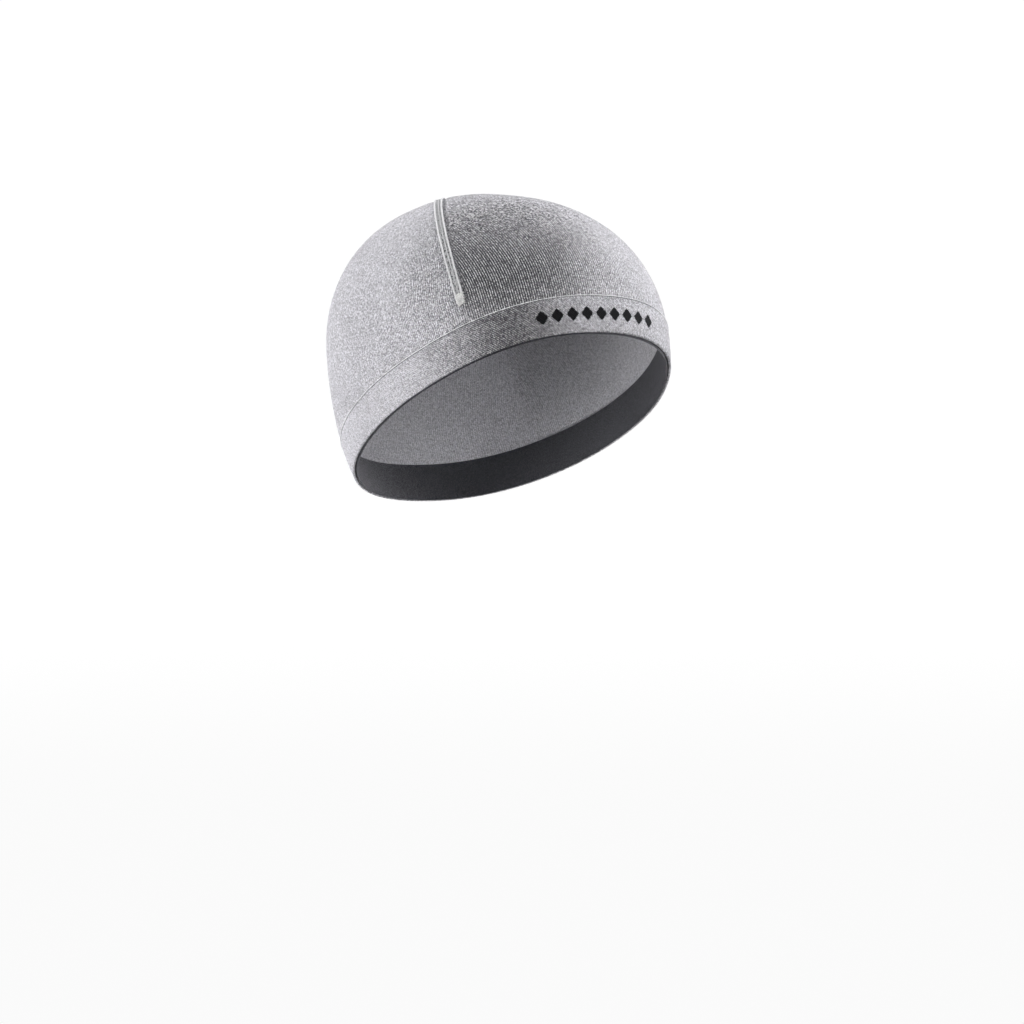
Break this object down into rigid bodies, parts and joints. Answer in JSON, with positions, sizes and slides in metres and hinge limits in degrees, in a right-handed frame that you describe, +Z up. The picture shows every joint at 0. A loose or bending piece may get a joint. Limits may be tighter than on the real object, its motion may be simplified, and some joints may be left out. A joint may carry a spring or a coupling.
{
  "type": "helmet liner cap",
  "caption": "Thin knitted skull cap for under a helmet: rounded crown, hemmed band rising to the forehead, one flat seam over the top with bar-tacked ends.",
  "frame": {"origin": "highest point of the inside of the crown, where the top of the wearer's head holds the cap up", "axes": "+Z up as worn, -Y towards the forehead, -X towards the wearer's right; the hollow opens downwards"},
  "size_m": [0.1574, 0.1828, 0.1522],
  "materials": {
    "crown_knit": "matt melange stretch knit, light cool grey",
    "band_knit": "matt fine melange knit, light cool grey",
    "facing_knit": "matt dark grey knit",
    "seam_thread": "off-white flat seam stitching",
    "tack_thread": "off-white bar tack"
  },
  "bodies": {
    "root": {"crown": "crown_knit", "band": "band_knit", "band_facing": "facing_knit", "crown_seam": "seam_thread", "bartack_front": "tack_thread", "bartack_back": "tack_thread"}
  },
  "joints": []
}
